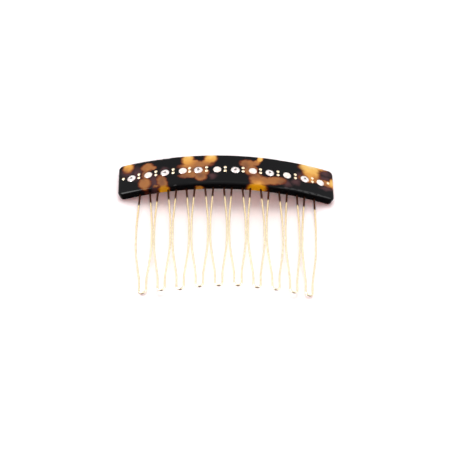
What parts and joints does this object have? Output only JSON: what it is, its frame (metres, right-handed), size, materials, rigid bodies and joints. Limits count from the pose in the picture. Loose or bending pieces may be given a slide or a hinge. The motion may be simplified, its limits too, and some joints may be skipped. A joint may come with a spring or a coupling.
{
  "type": "decorative hair comb",
  "caption": "Curved tortoiseshell side comb with sprung gold hairpin tines, inlaid with a row of crystals, pearls and small brass pins.",
  "frame": {"origin": "under the middle of the comb, on the surface that it lies on with the bar's two ends", "axes": "+X along the bar to the right seen from the front, +Y from the tines to the bar's upper edge, +Z out of the bar's bulging face"},
  "size_m": [0.0836, 0.0622, 0.0116],
  "materials": {
    "tortoiseshell_acetate": "polished tortoiseshell cellulose acetate, near-black with translucent amber patches",
    "gold_plated_wire": "bright gold-plated spring brass wire",
    "faceted_crystal": "clear foil-backed cut crystal",
    "pearl_cabochon": "glossy white pearl",
    "brass_pins": "polished pale brass pin heads"
  },
  "bodies": {
    "root": {"acetate_bar": "tortoiseshell_acetate", "tine_01": "gold_plated_wire", "tine_02": "gold_plated_wire", "tine_03": "gold_plated_wire", "tine_04": "gold_plated_wire", "tine_05": "gold_plated_wire", "tine_06": "gold_plated_wire", "tine_07": "gold_plated_wire", "tine_08": "gold_plated_wire", "tine_09": "gold_plated_wire", "tine_10": "gold_plated_wire", "crystal_1": "faceted_crystal", "pearl_1": "pearl_cabochon", "crystal_2": "faceted_crystal", "pearl_2": "pearl_cabochon", "crystal_3": "faceted_crystal", "pearl_3": "pearl_cabochon", "crystal_4": "faceted_crystal", "pearl_4": "pearl_cabochon", "crystal_5": "faceted_crystal", "pearl_5": "pearl_cabochon", "crystal_6": "faceted_crystal", "pearl_6": "pearl_cabochon", "left_end_pin": "brass_pins", "upper_pin_01": "brass_pins", "lower_pin_01": "brass_pins", "upper_pin_02": "brass_pins", "lower_pin_02": "brass_pins", "upper_pin_03": "brass_pins", "lower_pin_03": "brass_pins", "upper_pin_04": "brass_pins", "lower_pin_04": "brass_pins", "upper_pin_05": "brass_pins", "lower_pin_05": "brass_pins", "upper_pin_06": "brass_pins", "lower_pin_06": "brass_pins", "upper_pin_07": "brass_pins", "lower_pin_07": "brass_pins", "upper_pin_08": "brass_pins", "lower_pin_08": "brass_pins", "upper_pin_09": "brass_pins", "lower_pin_09": "brass_pins", "upper_pin_10": "brass_pins", "lower_pin_10": "brass_pins", "upper_pin_11": "brass_pins", "lower_pin_11": "brass_pins", "right_end_pin": "brass_pins"}
  },
  "joints": []
}
